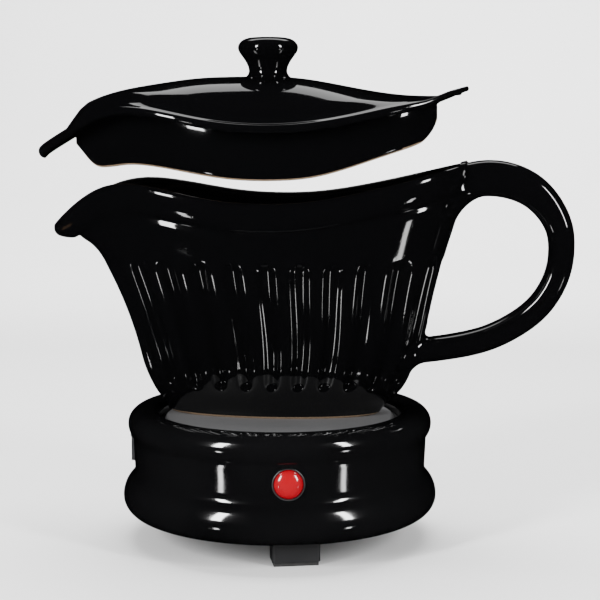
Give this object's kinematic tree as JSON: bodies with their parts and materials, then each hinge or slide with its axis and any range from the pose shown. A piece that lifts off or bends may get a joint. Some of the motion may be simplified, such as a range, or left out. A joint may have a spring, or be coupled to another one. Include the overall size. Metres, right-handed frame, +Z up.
{
  "type": "electric sauce warmer",
  "caption": "Electric sauce warmer: a lidded black stoneware gravy boat with spout and loop handle, standing on a round heated base.",
  "frame": {"origin": "on the axis of the round base, in the plane its feet stand on", "axes": "+X towards the handle, -X towards the spout, +Y to the back where the mains inlet is, +Z up"},
  "size_m": [0.2677, 0.1576, 0.2495],
  "materials": {
    "black_glaze": "high-gloss black glaze over stoneware",
    "gloss_black_plastic": "polished moulded thermoplastic",
    "matte_black_plastic": "fine-textured moulded thermoplastic",
    "coated_aluminium": "mid-grey non-stick coating on pressed aluminium",
    "gasket_silicone": "black heat-resistant silicone",
    "pad_rubber": "matt rubber",
    "zinc_steel": "zinc-plated steel",
    "mica_board": "mica and fibre board",
    "ceramic_white": "unglazed technical ceramic",
    "red_lens": "tinted translucent lens",
    "lamp_glass": "clear neon lamp envelope",
    "contact_brass": "plated contacts",
    "wire_sleeve": "glass-braid sleeve"
  },
  "bodies": {
    "base": {"base_housing": "gloss_black_plastic", "bottom_cover": "matte_black_plastic", "foot_front": "matte_black_plastic", "foot_rear_right": "matte_black_plastic", "foot_rear_left": "matte_black_plastic", "foot_pads": "pad_rubber", "cover_screws": "zinc_steel", "warming_plate": "coated_aluminium", "plate_gasket": "gasket_silicone", "heating_element": "mica_board", "heater_clamp": "zinc_steel", "insulation_pad": "mica_board", "heat_shield": "zinc_steel", "plate_nut": "zinc_steel", "thermostat": "ceramic_white", "thermostat_clip": "zinc_steel", "thermal_fuse": "wire_sleeve", "fuse_clip": "zinc_steel", "indicator_lens": "red_lens", "lamp_holder": "matte_black_plastic", "indicator_lamp": "lamp_glass", "switch_body": "matte_black_plastic", "switch_terminals": "contact_brass", "mains_inlet": "matte_black_plastic", "inlet_pins": "contact_brass", "terminal_block": "ceramic_white", "terminal_screws": "zinc_steel", "internal_wiring": "wire_sleeve"},
    "rocker": {"switch_rocker": "matte_black_plastic"},
    "boat": {"gravy_boat": "black_glaze"},
    "lid": {"lid": "black_glaze"}
  },
  "joints": [
    {"name": "boat_lift", "type": "slide", "parent": "base", "child": "boat", "axis": [0, 0, 1], "range_m": [0, 0.12]},
    {"name": "lid_lift", "type": "slide", "parent": "boat", "child": "lid", "axis": [0, 0, 1], "range_m": [-0.033, 0.06]},
    {"name": "switch_rock", "type": "hinge", "parent": "base", "child": "rocker", "pos_m": [-0.07269, 0.01022, 0.0425], "axis": [-0.1392, -0.9903, 0], "range_deg": [-18, 0]}
  ]
}
